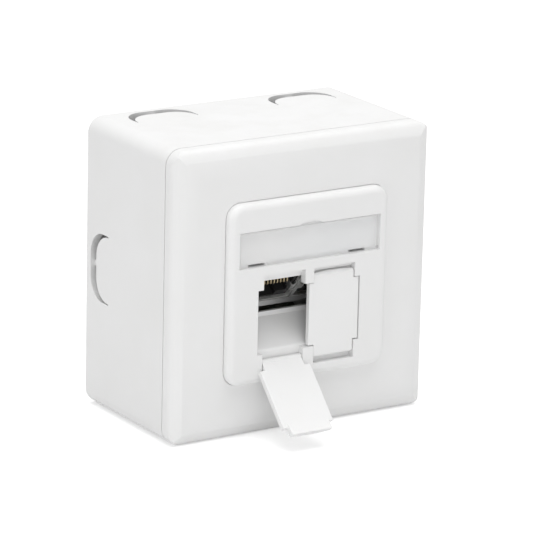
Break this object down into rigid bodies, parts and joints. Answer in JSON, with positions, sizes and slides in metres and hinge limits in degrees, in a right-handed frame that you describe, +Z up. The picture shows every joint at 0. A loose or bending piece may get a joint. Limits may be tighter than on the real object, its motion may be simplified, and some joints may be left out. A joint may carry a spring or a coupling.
{
  "type": "surface mount jack box",
  "caption": "Square wall-mounted network outlet with a crowned cover frame, a raised centre plate with a label window and two angled jacks behind bottom-hinged dust flaps.",
  "frame": {"origin": "centre of the rear face that lies on the wall", "axes": "+Y out of the rear face towards the wall, so the front faces -Y; +X to the right seen from the front; +Z up"},
  "size_m": [0.08, 0.0641, 0.08],
  "materials": {
    "white_housing": "fine satin texture",
    "white_flap": "satin gloss",
    "clear_cover": "clear plastic",
    "card": "plain blank card",
    "zinc_casting": "die-cast, satin",
    "tinned_steel": "bright sheet",
    "plated_steel": "zinc plated",
    "black_plastic": "moulded",
    "gold_contact": "gold plated",
    "board": "solder-masked laminate",
    "terminal_plastic": "moulded"
  },
  "bodies": {
    "housing": {"back_box": "white_housing", "cover_frame": "white_housing", "centre_plate": "white_housing", "label_card": "card", "plate_screw": "plated_steel", "support_plate": "plated_steel", "support_screws": "plated_steel", "carrier_screws": "plated_steel", "jack_carrier": "zinc_casting", "circuit_board": "board", "rear_shield": "tinned_steel", "clamp_bar": "plated_steel", "clamp_screws": "plated_steel", "earth_tab": "tinned_steel", "jack_shield_left": "tinned_steel", "jack_shield_right": "tinned_steel", "jack_body_left": "black_plastic", "jack_body_right": "black_plastic", "jack_contacts_left": "gold_contact", "jack_contacts_right": "gold_contact", "terminal_block_left": "terminal_plastic", "terminal_block_right": "terminal_plastic", "terminal_contacts_left": "tinned_steel", "terminal_contacts_right": "tinned_steel"},
    "flap_left": {"dust_flap_left": "white_flap"},
    "flap_right": {"dust_flap_right": "white_flap"},
    "window": {"label_window": "clear_cover"}
  },
  "joints": [
    {"name": "flap_left_hinge", "type": "hinge", "parent": "housing", "child": "flap_left", "pos_m": [-0.008, -0.0477, -0.0192], "axis": [1, 0, 0], "range_deg": [-136, 0]},
    {"name": "flap_right_hinge", "type": "hinge", "parent": "housing", "child": "flap_right", "pos_m": [0.008, -0.0477, -0.0192], "axis": [1, 0, 0], "range_deg": [0, 136]},
    {"name": "window_hinge", "type": "hinge", "parent": "housing", "child": "window", "pos_m": [0, -0.0477, 0.0079], "axis": [1, 0, 0], "range_deg": [0, 45]}
  ]
}
